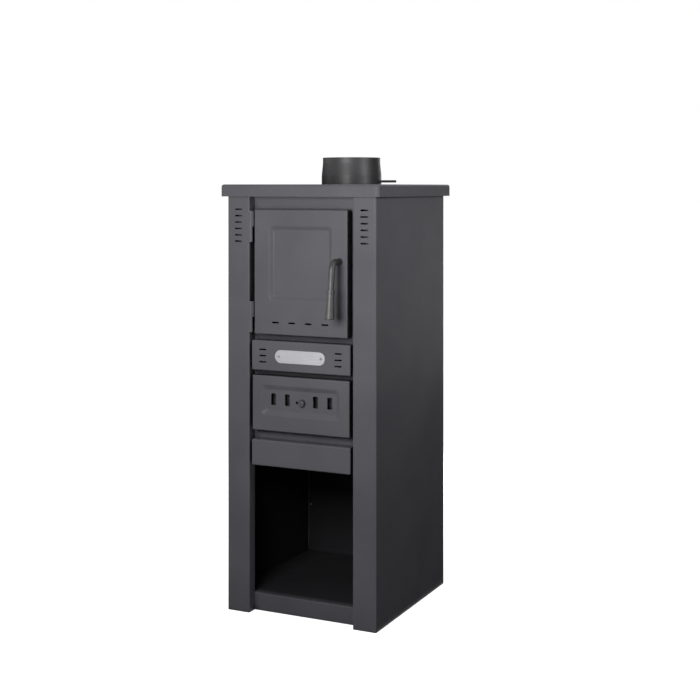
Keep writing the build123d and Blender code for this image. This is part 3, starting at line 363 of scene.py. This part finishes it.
def rope_material():
    """Glass-fibre rope: pale yarn with grey stains and duller fibres."""
    g = Graph("rope")
    fibre = g.noise(900.0, 3.0, 0.6)
    stain = g.noise(30.0, 4.0, 0.6)
    base = g.mix(g.spread(stain, 0.42, 0.7, 0.0, 0.75), linear(ROPE), linear(ROPE_STAIN))
    base = g.mix(g.spread(fibre, 0.4, 0.7, 0.0, 0.4), base, linear(ROPE_FIBRE))
    g.bumps((fibre, 0.5, 0.0003))
    return g.finish(base, 0.95, Specular_IOR_Level=0.15)


def gasket_material():
    """Ceramic paper: off-white felted fibre."""
    g = Graph("gasket")
    fibre = g.noise(700.0, 4.0, 0.7)
    base = g.mix(fibre, linear(PAPER_DARK), linear(PAPER))
    g.bumps((fibre, 0.4, 0.0003))
    return g.finish(base, 0.95, Specular_IOR_Level=0.15)


def badge_material():
    """Satin aluminium: fine straight brushing along the plate."""
    g = Graph("badge_metal")
    brush = g.noise(1500.0, 3.0, 0.6, g.scaled((0.02, 1.0, 1.0)))
    cloud = g.noise(25.0, 3.0)
    base = g.mix(g.spread(brush, 0.3, 0.7), linear(BADGE), linear(BADGE_BRIGHT))
    base = g.mix(g.spread(cloud, 0.4, 0.7, 0.0, 0.3), base, linear(BADGE_CLOUD))
    g.bumps((brush, 0.12, 0.0001))
    return g.finish(base, g.spread(brush, 0.3, 0.7, 0.42, 0.55), 0.35, Specular_IOR_Level=0.5)


def steel_material():
    """Dark satin handle steel: turned marks across the rod, tarnish from heat and fine specks."""
    g = Graph("handle_steel")
    turned = g.noise(900.0, 3.0, 0.6, g.scaled((0.25, 0.25, 1.0)))
    heat = g.noise(38.0, 4.0, 0.6)
    speck = g.noise(520.0, 4.0, 0.7)
    base = g.mix(g.spread(heat, 0.35, 0.68), linear(STEEL), linear(STEEL_WARM))
    base = g.mix(g.spread(speck, 0.52, 0.7, 0.0, 0.55), base, linear(STEEL_SPECK))
    g.bumps((turned, 0.2, 0.0002), (speck, 0.15, 0.0002))
    return g.finish(base, g.spread(speck, 0.3, 0.7, 0.46, 0.56), 0.8)


def zinc_material():
    """Zinc-plated fasteners: a dull spangle with a few darker stains."""
    g = Graph("fasteners")
    spangle = g.cells(420.0)
    base = g.mix(g.spread(spangle, 0.1, 0.6), linear(ZINC), linear(ZINC_SPANGLE))
    base = g.mix(g.spread(g.noise(180.0, 4.0), 0.5, 0.75, 0.0, 0.5), base, linear(ZINC_STAIN))
    g.bumps((spangle, 0.1, 0.0002))
    return g.finish(base, g.spread(spangle, 0.1, 0.6, 0.32, 0.5), 0.8)


MATERIALS = {
    "anthracite_paint": paint_material(),
    "inner_steel": inner_material(),
    "cast_iron": iron_material(),
    "firebrick": brick_material(),
    "rope": rope_material(),
    "gasket": gasket_material(),
    "badge_metal": badge_material(),
    "handle_steel": steel_material(),
    "fasteners": zinc_material(),
}
OWN_MATERIALS = {
    **dict.fromkeys(["flue_collar", "damper_rod", "air_knob"], collar_material()),
    **dict.fromkeys(["ash_pan", "ash_front_back", "slide_guides", "drawer_runners"], pan_material()),
}


def dress_nodes():
    """Gives every CAD node the material of its slot, or its own."""
    for part in frame["record"]["subparts"]:
        node = frame["nodes"][part["node"]]
        finish = OWN_MATERIALS.get(part["node"], MATERIALS[part["material_slot"]])
        node.data.materials.clear()
        node.data.materials.append(finish)


def camera():
    """The photo's view: a level camera to the right of the front, its frame shifted down."""
    data = bpy.data.cameras.new("camera")
    data.sensor_width = SENSOR
    data.lens = LENS
    data.shift_y = SHIFT_Y
    data.clip_end = VIEW_DEPTH
    eye = bpy.data.objects.new("camera", data)
    eye.location = (EYE_RIGHT, FRONT_Y - EYE_OUT, EYE_HEIGHT)
    eye.rotation_euler = (math.pi / 2, 0, EYE_TURN)
    bpy.context.scene.collection.objects.link(eye)
    bpy.context.scene.camera = eye


def area_light(name, place, aim, size, power):
    data = bpy.data.lights.new(name, "AREA")
    data.shape = "RECTANGLE"
    data.size, data.size_y = size
    data.energy = power
    lamp = bpy.data.objects.new(name, data)
    lamp.location = place
    lamp.rotation_euler = (Vector(aim) - Vector(place)).to_track_quat("-Z", "Y").to_euler()
    lamp.visible_camera = False
    bpy.context.scene.collection.objects.link(lamp)


def sheet(name, width, height):
    """A flat rectangle about its middle, linked to the scene."""
    mesh = bpy.data.meshes.new(name)
    x, y = width / 2, height / 2
    mesh.from_pydata([(-x, -y, 0), (x, -y, 0), (x, y, 0), (-x, y, 0)], [], [(0, 1, 2, 3)])
    made = bpy.data.objects.new(name, mesh)
    bpy.context.scene.collection.objects.link(made)
    return made


def seen_ray(tree):
    """1 for rays that show a surface as such: from the camera, a reflection, or through glass."""
    path = tree.nodes.new("ShaderNodeLightPath")
    total = path.outputs["Is Camera Ray"]
    for name in ("Is Glossy Ray", "Is Transmission Ray"):
        more = tree.nodes.new("ShaderNodeMath")
        more.operation = "MAXIMUM"
        tree.links.new(total, more.inputs[0])
        tree.links.new(path.outputs[name], more.inputs[1])
        total = more.outputs["Value"]
    return total


def studio():
    """A near lamp before the front, one at the right, weak ones for the rest, a white surround."""
    for lamp in LAMPS:
        area_light(*lamp)
    world = bpy.data.worlds.new("surround")
    world.use_nodes = True
    tree = world.node_tree
    light = tree.nodes["Background"]
    light.inputs["Color"].default_value = WHITE
    light.inputs["Strength"].default_value = AMBIENT
    seen = tree.nodes.new("ShaderNodeBackground")
    seen.inputs["Color"].default_value = WHITE
    seen.inputs["Strength"].default_value = 1.0
    pick = tree.nodes.new("ShaderNodeMixShader")
    tree.links.new(seen_ray(tree), pick.inputs["Fac"])
    tree.links.new(light.outputs["Background"], pick.inputs[1])
    tree.links.new(seen.outputs["Background"], pick.inputs[2])
    tree.links.new(pick.outputs["Shader"], tree.nodes["World Output"].inputs["Surface"])
    bpy.context.scene.world = world


def floor():
    """A wide floor, seen white with the object's soft shadow, that throws little light back."""
    plane = sheet("floor", FLOOR_SIZE, FLOOR_SIZE)
    g = Graph("floor")
    seen = seen_ray(g.tree)
    pale = g.mix(g.noise(3.0), linear(FLOOR), linear(FLOOR_PALE))
    g.finish(g.mix(seen, linear(FLOOR_BOUNCE), pale), 0.9, Specular_IOR_Level=0.0)
    away = g.node("ShaderNodeVectorMath", operation="LENGTH")
    g.link(g.place, away.inputs[0])
    glow = g.node("ShaderNodeEmission")
    rise = g.spread(away.outputs["Value"], GLOW_NEAR, GLOW_FAR, GLOW_LOW, GLOW_FULL)
    g.link(g.math("MULTIPLY", seen, rise), glow.inputs["Strength"])
    both = g.node("ShaderNodeAddShader")
    g.link(g.shader.outputs["BSDF"], both.inputs[0])
    g.link(glow.outputs["Emission"], both.inputs[1])
    g.link(both.outputs["Shader"], g.output.inputs["Surface"])
    plane.data.materials.append(g.material)


def flag(name, place, aim, width, height):
    """A black card out of the picture that only reflections see, so that dark edges stay dark."""
    card = sheet(name, width, height)
    card.location = place
    card.rotation_euler = (Vector(aim) - Vector(place)).to_track_quat("Z", "Y").to_euler()
    g = Graph(name)
    card.data.materials.append(g.finish(g.mix(g.noise(4.0), CARD_BLACK, CARD_SOFT), 0.9))
    card.visible_camera = False
    card.visible_diffuse = False
    card.visible_shadow = False
    card.visible_transmission = False


camera()
studio()
floor()
for card in FLAGS:
    flag(*card)
dress_nodes()

bpy.context.scene.view_settings.view_transform = "Standard"
